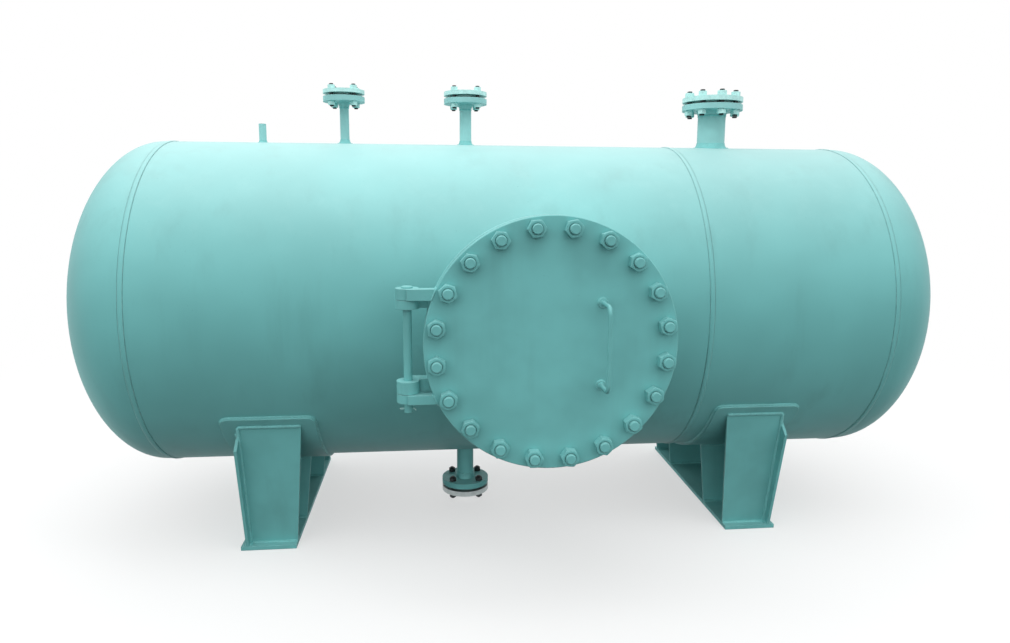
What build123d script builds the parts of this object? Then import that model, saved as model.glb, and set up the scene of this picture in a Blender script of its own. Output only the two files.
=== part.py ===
"""Horizontal pressure vessel on two saddles, with a hinged and bolted front manway.

Lengths are in millimetres. X runs along the vessel, the manway looks towards -Y and Z is up.
The origin is the centre of the fixed saddle's anchor holes, on the underside of its base plate.
"""
from build123d import *
from math import cos, radians, sin, sqrt
import os

# Vessel body
shell_outer_d = 1200.0
shell_wall = 10.0
head_wall = 12.0
head_depth = 300.0
straight_flange = 25.0
long_course = 1872.0
short_course = 655.0
left_overhang = 367.0
axis_height = 828.0
weld_gap = 0.3

# Girth weld beads
bead_width = 18.0
bead_height = 2.8
bead_gap = 0.6

# Manway
manway_x = 912.0
manway_neck_od = 530.0
manway_neck_wall = 10.0
manway_face_reach = 897.0
manway_flange_d = 715.0
manway_flange_thick = 44.0
manway_hub_length = 46.0
manway_hub_d = 562.0
manway_raised_d = 610.0
manway_raised = 4.0
manway_pcd = 650.0
manway_holes = 20
manway_hole_d = 33.0
cover_thick = 38.0
gasket_thick = 4.0
gasket_width = 26.0
cover_gap = 0.3
edge_break = 2.0

# Cover hinge
pin_x_offset = 400.0
pin_d = 24.0
pin_play = 0.5
pin_head_d = 32.0
pin_head_thick = 5.0
pin_tail = 30.0
lug_eye_r = 32.0
lug_play = 0.8
upper_cover_lug_z = 126.5
upper_cover_lug_thick = 31.0
upper_fixed_lug_thick = 25.0
lower_cover_lug_z = 137.0
lower_cover_lug_thick = 26.0
lower_fixed_lug_thick = 35.0

# Cover handle
handle_x_offset = 138.0
handle_length = 234.0
handle_reach = 88.0
handle_rod_d = 12.0
handle_bend_r = 22.0
handle_pad_d = 26.0
handle_pad_thick = 5.0

# Flanged nozzles
nozzle_raised = 3.0
nozzle_raised_margin = 3.0
nozzle_gasket = 4.5
nozzle_gasket_margin = 6.0
nozzle_hub = 20.0
nozzle_hub_step = 7.0

# Vent nozzle
vent_x = 252.0
vent_reach = 177.0
vent_pipe_d = 34.0
vent_pipe_wall = 4.0
vent_flange_d = 155.0
vent_flange_thick = 20.0
vent_blind_thick = 14.0
vent_pcd = 115.0
vent_holes = 4
vent_first_hole = 45.0
vent_hole_d = 18.0

# Inlet nozzle
inlet_x = 714.0
inlet_reach = 177.0
inlet_pipe_d = 45.0
inlet_pipe_wall = 4.0
inlet_flange_d = 165.0
inlet_flange_thick = 20.0
inlet_blind_thick = 15.0
inlet_pcd = 125.0
inlet_holes = 4
inlet_first_hole = 45.0
inlet_hole_d = 18.0

# Outlet nozzle
outlet_x = 1705.0
outlet_reach = 171.0
outlet_pipe_d = 108.0
outlet_pipe_wall = 6.0
outlet_flange_d = 235.0
outlet_flange_thick = 22.0
outlet_blind_thick = 18.0
outlet_pcd = 190.0
outlet_holes = 8
outlet_first_hole = 0.0
outlet_hole_d = 22.0

# Drain nozzle, on the underside
drain_x = 709.0
drain_reach = 180.0
drain_pipe_d = 68.0
drain_pipe_wall = 5.0
drain_flange_d = 190.0
drain_flange_thick = 22.0
drain_blind_thick = 20.0
drain_pcd = 150.0
drain_holes = 4
drain_first_hole = 45.0
drain_hole_d = 18.0

# Open stub on the top
stub_x = -54.0
stub_od = 27.0
stub_wall = 3.5
stub_reach = 70.0

# Saddles
saddle_spacing = 1760.0
base_length = 860.0
base_width = 190.0
base_thick = 14.0
web_thick = 10.0
web_inset = 18.0
web_shoulder_y = 520.0
web_shoulder_z = 395.0
rib_thick = 8.0
rib_foot = 162.0
rib_top = 206.0
rib_foot_inset = 30.0
inner_rib_y = 205.0
rib_top_angle = 54.0
wear_thick = 10.0
wear_wrap = 115.0
wear_outer_lap = 45.0
wear_inner_lap = 49.0
wear_corner_r = 28.0
anchor_spacing = 720.0
anchor_hole_d = 28.0
anchor_slot_length = 60.0

shell_r = shell_outer_d / 2
shell_inner_r = shell_r - shell_wall
left_seam_x = -left_overhang
girth_x = left_seam_x + long_course
right_seam_x = girth_x + short_course
web_outer_x = -base_width / 2 + web_inset
web_inner_x = web_outer_x + web_thick
cover_back_y = -(manway_face_reach + gasket_thick + cover_gap)
cover_front_y = cover_back_y - cover_thick
pin_x = manway_x - pin_x_offset
pin_y = cover_back_y

os.makedirs("parts", exist_ok=True)


def write(piece, label):
    """Name a finished piece and write its file."""
    piece.part.label = label
    export_step(piece.part, f"parts/{label}.step")


def across_vessel(x):
    """Plane square to the vessel's axis, centred on it."""
    return Plane(origin=(x, 0, axis_height), x_dir=(0, 1, 0), z_dir=(1, 0, 0))


def nozzle_plane(x, side):
    """Plane on the vessel's axis that looks out through the top (+1) or the bottom (-1)."""
    return Plane(origin=(x, 0, axis_height), x_dir=(1, 0, 0), z_dir=(0, 0, side))


manway_plane = Plane(origin=(manway_x, 0, axis_height), x_dir=(1, 0, 0), z_dir=(0, -1, 0))


class Nozzle:
    """Flanged branch: its station, its side (+1 is the top), reach past the shell, pipe and flanged joint."""

    def __init__(
        self, name, x, side, reach, pipe_d, wall, flange_d, thick, blind_thick, pcd, holes, first_hole, hole_d
    ):
        self.name = name
        self.x = x
        self.side = side
        self.reach = reach
        self.pipe_d = pipe_d
        self.wall = wall
        self.flange_d = flange_d
        self.thick = thick
        self.blind_thick = blind_thick
        self.pcd = pcd
        self.holes = holes
        self.first_hole = first_hole
        self.hole_d = hole_d


vent = Nozzle(
    name="vent",
    x=vent_x,
    side=1,
    reach=vent_reach,
    pipe_d=vent_pipe_d,
    wall=vent_pipe_wall,
    flange_d=vent_flange_d,
    thick=vent_flange_thick,
    blind_thick=vent_blind_thick,
    pcd=vent_pcd,
    holes=vent_holes,
    first_hole=vent_first_hole,
    hole_d=vent_hole_d,
)
inlet = Nozzle(
    name="inlet",
    x=inlet_x,
    side=1,
    reach=inlet_reach,
    pipe_d=inlet_pipe_d,
    wall=inlet_pipe_wall,
    flange_d=inlet_flange_d,
    thick=inlet_flange_thick,
    blind_thick=inlet_blind_thick,
    pcd=inlet_pcd,
    holes=inlet_holes,
    first_hole=inlet_first_hole,
    hole_d=inlet_hole_d,
)
outlet = Nozzle(
    name="outlet",
    x=outlet_x,
    side=1,
    reach=outlet_reach,
    pipe_d=outlet_pipe_d,
    wall=outlet_pipe_wall,
    flange_d=outlet_flange_d,
    thick=outlet_flange_thick,
    blind_thick=outlet_blind_thick,
    pcd=outlet_pcd,
    holes=outlet_holes,
    first_hole=outlet_first_hole,
    hole_d=outlet_hole_d,
)
drain = Nozzle(
    name="drain",
    x=drain_x,
    side=-1,
    reach=drain_reach,
    pipe_d=drain_pipe_d,
    wall=drain_pipe_wall,
    flange_d=drain_flange_d,
    thick=drain_flange_thick,
    blind_thick=drain_blind_thick,
    pcd=drain_pcd,
    holes=drain_holes,
    first_hole=drain_first_hole,
    hole_d=drain_hole_d,
)
nozzles = [vent, inlet, outlet, drain]


# Shell courses
def cut_round_hole(plane, pipe_d):
    """Hole for a branch pipe, with the gap that its weld closes."""
    with BuildSketch(plane) as hole:
        Circle(pipe_d / 2 + weld_gap)
    extrude(hole.sketch, amount=shell_outer_d, mode=Mode.SUBTRACT)


def cut_shell_openings(low_x, high_x):
    """Cut the holes of every branch that lands between two stations."""
    for nozzle in nozzles:
        if low_x < nozzle.x < high_x:
            cut_round_hole(nozzle_plane(nozzle.x, nozzle.side), nozzle.pipe_d)
    if low_x < stub_x < high_x:
        cut_round_hole(nozzle_plane(stub_x, 1), stub_od)
    if low_x < manway_x < high_x:
        cut_round_hole(manway_plane, manway_neck_od)


with BuildPart() as shell_course_long:
    with BuildSketch(across_vessel(left_seam_x)):
        Circle(shell_r)
        Circle(shell_inner_r, mode=Mode.SUBTRACT)
    extrude(amount=long_course)
    cut_shell_openings(left_seam_x, girth_x)
write(shell_course_long, "shell_course_long")

with BuildPart() as shell_course_short:
    with BuildSketch(across_vessel(girth_x)):
        Circle(shell_r)
        Circle(shell_inner_r, mode=Mode.SUBTRACT)
    extrude(amount=short_course)
    cut_shell_openings(girth_x, right_seam_x)
write(shell_course_short, "shell_course_short")


# Ellipsoidal heads
def head_outline(radius, depth):
    """Quarter outline of one surface of a head, from its seam to its crown."""
    Line((0, radius), (straight_flange, radius))
    EllipticalCenterArc((straight_flange, 0), depth, radius, start_angle=0, arc_size=90)
    Line((straight_flange + depth, 0), (0, 0))
    Line((0, 0), (0, radius))


def make_head(label, seam_x, side):
    section = Plane(origin=(seam_x, 0, axis_height), x_dir=(side, 0, 0), z_dir=(0, -side, 0))
    with BuildPart() as head:
        with BuildSketch(section):
            with BuildLine():
                head_outline(shell_r, head_depth)
            make_face()
            with BuildLine():
                head_outline(shell_r - head_wall, head_depth - head_wall)
            make_face(mode=Mode.SUBTRACT)
        revolve(axis=Axis((seam_x, 0, axis_height), (1, 0, 0)))
    write(head, label)


make_head("head_left", left_seam_x, -1)
make_head("head_right", right_seam_x, 1)

# Girth weld beads
with BuildPart() as girth_welds:
    for seam_x in (left_seam_x, girth_x, right_seam_x):
        with BuildSketch(Plane(origin=(seam_x, 0, axis_height), x_dir=(1, 0, 0), z_dir=(0, -1, 0))):
            with BuildLine():
                Line((-bead_width / 2, shell_r + bead_gap), (bead_width / 2, shell_r + bead_gap))
                ThreePointArc(
                    (bead_width / 2, shell_r + bead_gap),
                    (0, shell_r + bead_height),
                    (-bead_width / 2, shell_r + bead_gap),
                )
            make_face()
        revolve(axis=Axis((seam_x, 0, axis_height), (1, 0, 0)))
write(girth_welds, "girth_welds")


# Branches through the shell
def branch_pipe(plane, outer_d, wall, length):
    """Pipe that leaves the vessel along a plane's normal and ends flush inside the shell."""
    with BuildSketch(plane) as ring:
        Circle(outer_d / 2)
        Circle(outer_d / 2 - wall, mode=Mode.SUBTRACT)
    extrude(ring.sketch, amount=length)
    with BuildSketch(across_vessel(left_seam_x)) as inside:
        Circle(shell_inner_r)
    extrude(inside.sketch, amount=long_course + short_course, mode=Mode.SUBTRACT)


def flange_section(bore_r, hub_r, root_r, raised_r, rim_r, hub_length, thick, raised, face):
    """Half section of a hubbed flange, whose raised face lies at the given height."""
    back = face - raised - thick
    Polyline(
        (bore_r, back - hub_length),
        (hub_r, back - hub_length),
        (root_r, back),
        (rim_r, back),
        (rim_r, face - raised),
        (raised_r, face - raised),
        (raised_r, face),
        (bore_r, face),
        close=True,
    )


def bolt_holes(plane, pcd, count, first_angle, hole_d):
    """Ring of holes right through the piece."""
    with BuildSketch(plane) as holes:
        with PolarLocations(pcd / 2, count, start_angle=first_angle):
            Circle(hole_d / 2)
    extrude(holes.sketch, amount=2 * shell_outer_d, mode=Mode.SUBTRACT)


def section_plane(plane):
    """Plane through a branch's axis, with its second direction along that axis."""
    return Plane(origin=plane.origin, x_dir=plane.x_dir, z_dir=plane.x_dir.cross(plane.z_dir))


def branch_axis(plane):
    return Axis(plane.origin, plane.z_dir)


for nozzle in nozzles:
    plane = nozzle_plane(nozzle.x, nozzle.side)
    face = shell_r + nozzle.reach
    flange_back = face - nozzle_raised - nozzle.thick
    bore_r = nozzle.pipe_d / 2 - nozzle.wall
    raised_r = (nozzle.pcd - nozzle.hole_d) / 2 - nozzle_raised_margin
    rim_r = nozzle.flange_d / 2

    with BuildPart() as neck:
        branch_pipe(plane, nozzle.pipe_d, nozzle.wall, flange_back - nozzle_hub)
    write(neck, f"{nozzle.name}_neck")

    with BuildPart() as flange:
        with BuildSketch(section_plane(plane)):
            with BuildLine():
                flange_section(
                    bore_r,
                    nozzle.pipe_d / 2,
                    nozzle.pipe_d / 2 + nozzle_hub_step,
                    raised_r,
                    rim_r,
                    nozzle_hub,
                    nozzle.thick,
                    nozzle_raised,
                    face,
                )
            make_face()
        revolve(axis=branch_axis(plane))
        bolt_holes(plane, nozzle.pcd, nozzle.holes, nozzle.first_hole, nozzle.hole_d)
    write(flange, f"{nozzle.name}_flange")

    with BuildPart() as gasket:
        with BuildSketch(plane.offset(face)):
            Circle(raised_r)
            Circle(bore_r + nozzle_gasket_margin, mode=Mode.SUBTRACT)
        extrude(amount=nozzle_gasket)
    write(gasket, f"{nozzle.name}_gasket")

    with BuildPart() as blind:
        with BuildSketch(plane.offset(face + nozzle_gasket)):
            Circle(raised_r)
        extrude(amount=nozzle_raised)
        with BuildSketch(plane.offset(face + nozzle_gasket + nozzle_raised)):
            Circle(rim_r)
        extrude(amount=nozzle.blind_thick)
        bolt_holes(plane, nozzle.pcd, nozzle.holes, nozzle.first_hole, nozzle.hole_d)
    write(blind, f"{nozzle.name}_blind")

# Open stub
with BuildPart() as top_stub:
    branch_pipe(nozzle_plane(stub_x, 1), stub_od, stub_wall, shell_r + stub_reach)
write(top_stub, "top_stub")

# Manway neck, flange and gasket
manway_first_hole = 180.0 / manway_holes
manway_flange_back = manway_face_reach - manway_raised - manway_flange_thick
manway_bore_r = manway_neck_od / 2 - manway_neck_wall

with BuildPart() as manway_neck:
    branch_pipe(manway_plane, manway_neck_od, manway_neck_wall, manway_flange_back - manway_hub_length)
write(manway_neck, "manway_neck")

with BuildPart() as manway_flange:
    with BuildSketch(section_plane(manway_plane)):
        with BuildLine():
            flange_section(
                manway_bore_r,
                manway_neck_od / 2,
                manway_hub_d / 2,
                manway_raised_d / 2,
                manway_flange_d / 2,
                manway_hub_length,
                manway_flange_thick,
                manway_raised,
                manway_face_reach,
            )
        make_face()
    revolve(axis=branch_axis(manway_plane))
    bolt_holes(manway_plane, manway_pcd, manway_holes, manway_first_hole, manway_hole_d)
write(manway_flange, "manway_flange")

with BuildPart() as manway_gasket:
    with BuildSketch(manway_plane.offset(manway_face_reach)):
        Circle(manway_raised_d / 2)
        Circle(manway_raised_d / 2 - gasket_width, mode=Mode.SUBTRACT)
    extrude(amount=gasket_thick)
write(manway_gasket, "manway_gasket")

# Manway cover, with its raised face towards the gasket
with BuildPart() as manway_cover:
    with BuildSketch(manway_plane.offset(-cover_back_y)):
        Circle(manway_raised_d / 2)
    extrude(amount=manway_raised)
    with BuildSketch(manway_plane.offset(-cover_back_y + manway_raised)):
        Circle(manway_flange_d / 2)
    extrude(amount=cover_thick - manway_raised)
    chamfer(manway_cover.faces().sort_by(Axis.Y)[0].edges(), length=edge_break)
    bolt_holes(manway_plane, manway_pcd, manway_holes, manway_first_hole, manway_hole_d)
write(manway_cover, "manway_cover")


# Hinge lugs: an eye round the pin, and an arm that lands on a round rim
def make_lug(label, low_z, thick, arm_low_y, arm_high_y, rim_r):
    """Flat lug at a height over the manway's axis, whose arm is trimmed to the rim it is welded to."""
    with BuildPart() as lug:
        with BuildSketch(Plane.XY.offset(axis_height + low_z)):
            with Locations((pin_x, pin_y)):
                Circle(lug_eye_r)
            with Locations(((pin_x + manway_x) / 2, (arm_low_y + arm_high_y) / 2)):
                Rectangle(pin_x_offset, arm_high_y - arm_low_y)
        extrude(amount=thick)
        with BuildSketch(manway_plane):
            Circle(rim_r + weld_gap)
        extrude(amount=2 * shell_outer_d, mode=Mode.SUBTRACT)
        with BuildSketch(Plane.XY.offset(axis_height + low_z)):
            with Locations((pin_x, pin_y)):
                Circle(pin_d / 2 + pin_play)
        extrude(amount=thick, mode=Mode.SUBTRACT)
    write(lug, label)


rim_r = manway_flange_d / 2
cover_rim_y = cover_back_y - manway_raised
flange_rim_y = -manway_face_reach + manway_raised
flange_back_y = flange_rim_y + manway_flange_thick
upper_fixed_z = upper_cover_lug_z - lug_play - upper_fixed_lug_thick
lower_fixed_z = -lower_cover_lug_z + lug_play
lower_arm_z = -lower_cover_lug_z - lower_cover_lug_thick

make_lug("cover_lug_upper", upper_cover_lug_z, upper_cover_lug_thick, cover_front_y, cover_rim_y, rim_r)
make_lug("cover_lug_lower", lower_arm_z, lower_cover_lug_thick, cover_front_y, cover_rim_y, rim_r)
make_lug("fixed_lug_upper", upper_fixed_z, upper_fixed_lug_thick, flange_rim_y, flange_back_y, rim_r)
make_lug("fixed_lug_lower", lower_fixed_z, lower_fixed_lug_thick, flange_rim_y, flange_back_y, rim_r)

# Hinge pin, hung by its head on the upper lug
with BuildPart() as hinge_pin:
    with BuildSketch(Plane.XY.offset(axis_height + lower_arm_z - pin_tail)):
        with Locations((pin_x, pin_y)):
            Circle(pin_d / 2)
    extrude(amount=upper_cover_lug_z + upper_cover_lug_thick - lower_arm_z + pin_tail)
    with BuildSketch(Plane.XY.offset(axis_height + upper_cover_lug_z + upper_cover_lug_thick)):
        with Locations((pin_x, pin_y)):
            Circle(pin_head_d / 2)
    extrude(amount=pin_head_thick)
    chamfer(hinge_pin.faces().sort_by(Axis.Z)[-1].edges(), length=edge_break)
write(hinge_pin, "hinge_pin")

# Cover handle: a round bar bent to a U, on two weld pads
handle_low_z = axis_height - handle_length / 2
handle_high_z = axis_height + handle_length / 2
handle_x = manway_x + handle_x_offset
handle_seat_y = cover_front_y - handle_pad_thick
with BuildPart() as cover_handle:
    with BuildLine() as handle_path:
        FilletPolyline(
            (handle_x, handle_seat_y, handle_low_z),
            (handle_x, cover_front_y - handle_reach, handle_low_z),
            (handle_x, cover_front_y - handle_reach, handle_high_z),
            (handle_x, handle_seat_y, handle_high_z),
            radius=handle_bend_r,
        )
    with BuildSketch(Plane(origin=handle_path.line @ 0, z_dir=handle_path.line % 0)):
        Circle(handle_rod_d / 2)
    sweep()
    for foot_z in (handle_low_z, handle_high_z):
        with BuildSketch(Plane(origin=(handle_x, cover_front_y, foot_z), z_dir=(0, -1, 0))):
            Circle(handle_pad_d / 2)
        extrude(amount=handle_pad_thick)
write(cover_handle, "cover_handle")


# Saddles, each drawn at the origin with its web on the side of the nearer head
wear_r = shell_r + weld_gap
wear_outer_r = wear_r + wear_thick
rest_r = wear_outer_r + weld_gap
rib_top_y = rest_r * sin(radians(rib_top_angle))
rib_top_z = axis_height - rest_r * cos(radians(rib_top_angle))
rib_foot_y = base_length / 2 - rib_foot_inset
end_rib_height = sqrt((rib_top_z - base_thick) ** 2 + (rib_top_y - rib_foot_y) ** 2)
web_crown_y = web_shoulder_y - (axis_height - web_shoulder_z)
wedge_side = 2 * wear_outer_r
wedge_y = wedge_side * sin(radians(wear_wrap / 2))
wedge_z = wedge_side * cos(radians(wear_wrap / 2))


def cut_vessel_rest(x):
    """Cut away what would reach past the wear plate's underside."""
    with BuildSketch(across_vessel(x - base_length)) as rest:
        Circle(rest_r)
    extrude(rest.sketch, amount=2 * base_length, mode=Mode.SUBTRACT)


def rib_outline(height):
    """Rib drawn from its foot, whose free edge leans out as on the tall end ribs."""
    top_width = rib_foot + (rib_top - rib_foot) * height / end_rib_height
    Polyline((0, 0), (rib_foot, 0), (top_width, height), (0, height), close=True)


def make_saddle(side_name, saddle_x, inward):
    """inward is +1 where the vessel's middle lies towards +X of the saddle."""
    web_x = saddle_x + inward * web_inner_x
    wear_low = web_outer_x - wear_outer_lap
    wear_high = web_inner_x + rib_top + wear_inner_lap
    wear_mid_x = saddle_x + inward * (wear_low + wear_high) / 2
    wear_width = wear_high - wear_low

    with BuildPart() as wear_plate:
        with BuildSketch(across_vessel(wear_mid_x - wear_width / 2)):
            Circle(wear_outer_r)
            Circle(wear_r, mode=Mode.SUBTRACT)
            with BuildLine():
                Polyline((0, 0), (-wedge_y, -wedge_z), (wedge_y, -wedge_z), close=True)
            make_face(mode=Mode.INTERSECT)
        extrude(amount=wear_width)
        corners = wear_plate.edges().filter_by(lambda edge: edge.length < 2 * wear_thick)
        fillet(corners, radius=wear_corner_r)
    write(wear_plate, f"{side_name}_wear_plate")

    with BuildPart() as base_plate:
        with BuildSketch():
            with Locations((saddle_x, 0)):
                Rectangle(base_width, base_length)
            with Locations((saddle_x, -anchor_spacing / 2), (saddle_x, anchor_spacing / 2)):
                if side_name == "fixed_saddle":
                    Circle(anchor_hole_d / 2, mode=Mode.SUBTRACT)
                else:
                    SlotOverall(anchor_slot_length, anchor_hole_d, mode=Mode.SUBTRACT)
        extrude(amount=base_thick)
    write(base_plate, f"{side_name}_base_plate")

    with BuildPart() as web:
        web_start = Plane(origin=(web_x, 0, 0), x_dir=(0, inward, 0), z_dir=(inward, 0, 0))
        with BuildSketch(web_start):
            with BuildLine():
                Polyline(
                    (-base_length / 2, base_thick),
                    (base_length / 2, base_thick),
                    (web_shoulder_y, web_shoulder_z),
                    (web_crown_y, axis_height),
                    (-web_crown_y, axis_height),
                    (-web_shoulder_y, web_shoulder_z),
                    close=True,
                )
            make_face()
        extrude(amount=-web_thick)
        cut_vessel_rest(saddle_x)
    write(web, f"{side_name}_web")

    with BuildPart() as ribs:
        for side_y in (-1, 1):
            lean = rib_top_y - rib_foot_y
            up_slope = Vector(0, side_y * lean, rib_top_z - base_thick).normalized()
            along = Vector(inward, 0, 0)
            foot = Vector(web_x, side_y * rib_foot_y, base_thick)
            end_face = Plane(origin=foot, x_dir=along, z_dir=along.cross(up_slope))
            inward_y = -1 if end_face.z_dir.Y * side_y > 0 else 1
            with BuildSketch(end_face):
                with BuildLine():
                    rib_outline(end_rib_height)
                make_face()
            extrude(amount=inward_y * rib_thick)
            inner_face = Plane(
                origin=(web_x, side_y * inner_rib_y - rib_thick / 2, base_thick),
                x_dir=along,
                z_dir=along.cross(Vector(0, 0, 1)),
            )
            with BuildSketch(inner_face):
                with BuildLine():
                    rib_outline(axis_height - base_thick - sqrt(rest_r**2 - inner_rib_y**2) + rib_thick)
                make_face()
            extrude(amount=-inward * rib_thick)
        cut_vessel_rest(saddle_x)
        split(bisect_by=Plane.XY.offset(base_thick), keep=Keep.TOP)
    write(ribs, f"{side_name}_ribs")


make_saddle("fixed_saddle", 0.0, 1)
make_saddle("sliding_saddle", saddle_spacing, -1)
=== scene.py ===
"""Paint, bolting, welds and a studio for a horizontal pressure vessel that lies on two saddles.

The file is laid out as an add-on and is run as a script. Lengths are in metres, X runs along the
vessel, the manway looks towards -Y and Z is up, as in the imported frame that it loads.
"""

from math import acos, cos, log2, pi, radians, sin, sqrt

import bpy
from bpy.props import FloatProperty, FloatVectorProperty, IntProperty, PointerProperty
from mathutils import Matrix, Vector


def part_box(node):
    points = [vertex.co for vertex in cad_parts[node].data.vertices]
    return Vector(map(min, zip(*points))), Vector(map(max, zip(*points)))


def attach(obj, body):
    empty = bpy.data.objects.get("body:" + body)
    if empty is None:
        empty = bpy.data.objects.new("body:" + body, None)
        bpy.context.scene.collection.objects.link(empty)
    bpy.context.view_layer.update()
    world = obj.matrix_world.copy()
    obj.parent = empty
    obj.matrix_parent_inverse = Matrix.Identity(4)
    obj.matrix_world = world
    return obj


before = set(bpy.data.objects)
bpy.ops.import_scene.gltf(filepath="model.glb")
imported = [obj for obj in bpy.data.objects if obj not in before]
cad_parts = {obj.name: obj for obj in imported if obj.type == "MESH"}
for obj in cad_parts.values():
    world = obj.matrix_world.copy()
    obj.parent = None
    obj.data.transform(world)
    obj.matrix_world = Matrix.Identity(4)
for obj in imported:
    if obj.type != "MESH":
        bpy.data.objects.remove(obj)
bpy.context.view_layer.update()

bl_info = {
    "name": "Pressure Vessel Dressing",
    "version": (1, 0, 0),
    "blender": (4, 5, 0),
    "location": "View3D > Sidebar > Vessel",
    "description": "Paint, studs, weld beads and a studio for a horizontal pressure vessel",
    "category": "Object",
}


# What the frame says about the vessel's own places
def box_middle(node):
    low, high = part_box(node)
    return (low + high) / 2


shell_low, shell_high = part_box("shell_course_long")
axis_z = (shell_low.z + shell_high.z) / 2
shell_r = (shell_high.z - shell_low.z) / 2
manway_x = box_middle("manway_cover").x
manway_rim_r = (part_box("manway_cover")[1].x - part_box("manway_cover")[0].x) / 2
cover_front_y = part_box("manway_cover")[0].y
cover_back_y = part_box("manway_cover")[1].y


# Settings that a user would change
class VesselPaintSettings(bpy.types.PropertyGroup):
    paint: FloatVectorProperty(
        name="Paint",
        description="Colour of the paint on the vessel, the manway and the saddles",
        subtype="COLOR",
        size=4,
        default=(0.158, 0.474, 0.470, 1.0),
    )
    # Also the colour of the painted edge highlight, where edges catch the light, and of the dusty patches
    worn_and_highlit_paint: FloatVectorProperty(
        name="Worn and highlit paint",
        description="Colour of the paint where it is rubbed thin along edges",
        subtype="COLOR",
        size=4,
        default=(0.400, 0.700, 0.685, 1.0),
    )
    grime: FloatVectorProperty(
        name="Grime",
        description="Colour of the dust and grime that settle on the paint",
        subtype="COLOR",
        size=4,
        default=(0.090, 0.250, 0.245, 1.0),
    )
    steel: FloatVectorProperty(
        name="Bare steel",
        description="Colour of the drain's blind flange",
        subtype="COLOR",
        size=4,
        default=(0.470, 0.520, 0.520, 1.0),
    )
    plating: FloatVectorProperty(
        name="Plating",
        description="Colour of the plated blind flanges and nuts on the top nozzles, and of the split pin",
        subtype="COLOR",
        size=4,
        default=(0.430, 0.720, 0.700, 1.0),
    )
    # Dark as painted shade: this colour stands for the shadow on the stud ends and for the dark reflections
    # in the drain's nuts
    dark_steel: FloatVectorProperty(
        name="Dark steel",
        description="Colour of the blackened studs",
        subtype="COLOR",
        size=4,
        default=(0.040, 0.050, 0.052, 1.0),
    )
    gasket: FloatVectorProperty(
        name="Gasket",
        description="Colour of the fibre gaskets",
        subtype="COLOR",
        size=4,
        default=(0.028, 0.036, 0.036, 1.0),
    )
    # Colour of a painted sheen: light from above painted onto the paint's upper sides. The top nozzles'
    # painted glare also lightens towards it
    top_sheen_colour: FloatVectorProperty(
        name="Top sheen colour",
        description="Colour of the sun-bleached bloom on the paint's upper sides",
        subtype="COLOR",
        size=4,
        default=(0.680, 0.830, 0.820, 1.0),
    )
    # Strength of the painted sheen on the shell's upper side
    top_sheen_amount: FloatProperty(
        name="Top sheen amount",
        description="How strongly the shell's upper side is bleached",
        subtype="FACTOR",
        min=0.0,
        max=1.0,
        default=0.40,
    )
    # Strength of the painted sheen on the upper sides of flanges, lugs and saddle plates
    plate_top_sheen_amount: FloatProperty(
        name="Plate chalking",
        description="How strongly the upper sides of flanges, lugs and saddle plates are bleached",
        subtype="FACTOR",
        min=0.0,
        max=1.0,
        default=0.10,
    )
    # Painted glare: the top nozzles' paint is lightened all round towards the sheen colour, standing for
    # the glare round these small bright parts
    nozzle_glare: FloatProperty(
        name="Nozzle fading",
        description="How far the paint of the top nozzles is faded all round",
        subtype="FACTOR",
        min=0.0,
        max=1.0,
        default=0.20,
    )
    paint_roughness: FloatProperty(
        name="Paint roughness",
        description="How dull the paint is",
        subtype="FACTOR",
        min=0.0,
        max=1.0,
        default=0.46,
    )
    edge_radius: FloatProperty(
        name="Edge radius",
        description="How far the rounded look of a painted edge reaches",
        unit="LENGTH",
        default=0.0026,
    )


class VesselBoltingSettings(bpy.types.PropertyGroup):
    manway_pitch_d: FloatProperty(
        name="Manway bolt circle",
        description="Diameter of the circle of studs round the manway",
        unit="LENGTH",
        default=0.650,
    )
    manway_studs: IntProperty(
        name="Manway studs",
        description="How many studs hold the manway cover",
        default=20,
    )
    manway_stud_d: FloatProperty(
        name="Manway stud",
        description="Diameter of the manway studs",
        unit="LENGTH",
        default=0.030,
    )
    manway_hub: FloatProperty(
        name="Manway hub",
        description="Length of the hub behind the manway flange",
        unit="LENGTH",
        default=0.046,
    )
    nozzle_hub: FloatProperty(
        name="Nozzle hub",
        description="Length of the hub behind each nozzle flange",
        unit="LENGTH",
        default=0.020,
    )
    nut_width: FloatProperty(
        name="Nut width",
        description="Width of a nut across its flats, over its stud's diameter",
        default=1.54,
    )
    nut_height: FloatProperty(
        name="Nut height",
        description="Height of a nut, over its stud's diameter",
        default=0.92,
    )
    stud_proud: FloatProperty(
        name="Stud end",
        description="How far a stud stands out of its nut, over its diameter",
        default=0.30,
    )


class VesselWeldSettings(bpy.types.PropertyGroup):
    spacing: FloatProperty(
        name="Ripple spacing",
        description="Distance between the ripples of a weld bead",
        unit="LENGTH",
        default=0.004,
    )
    manway_leg: FloatProperty(
        name="Manway fillet",
        description="Size of the fillet weld round the manway neck",
        unit="LENGTH",
        default=0.012,
    )
    branch_leg: FloatProperty(
        name="Nozzle weld foot",
        description="How far the nozzle welds reach out over the shell",
        unit="LENGTH",
        default=0.010,
    )
    branch_rise: FloatProperty(
        name="Nozzle weld rise",
        description="How far the nozzle welds climb up their necks",
        unit="LENGTH",
        default=0.016,
    )
    wear_leg: FloatProperty(
        name="Wear plate fillet",
        description="Size of the fillet welds round the wear plates",
        unit="LENGTH",
        default=0.0055,
    )
    saddle_leg: FloatProperty(
        name="Saddle fillet",
        description="Size of the fillet welds on the saddles",
        unit="LENGTH",
        default=0.008,
    )
    small_leg: FloatProperty(
        name="Small fillet",
        description="Size of the fillet welds on the lugs, the stub and the handle",
        unit="LENGTH",
        default=0.0045,
    )


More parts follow.
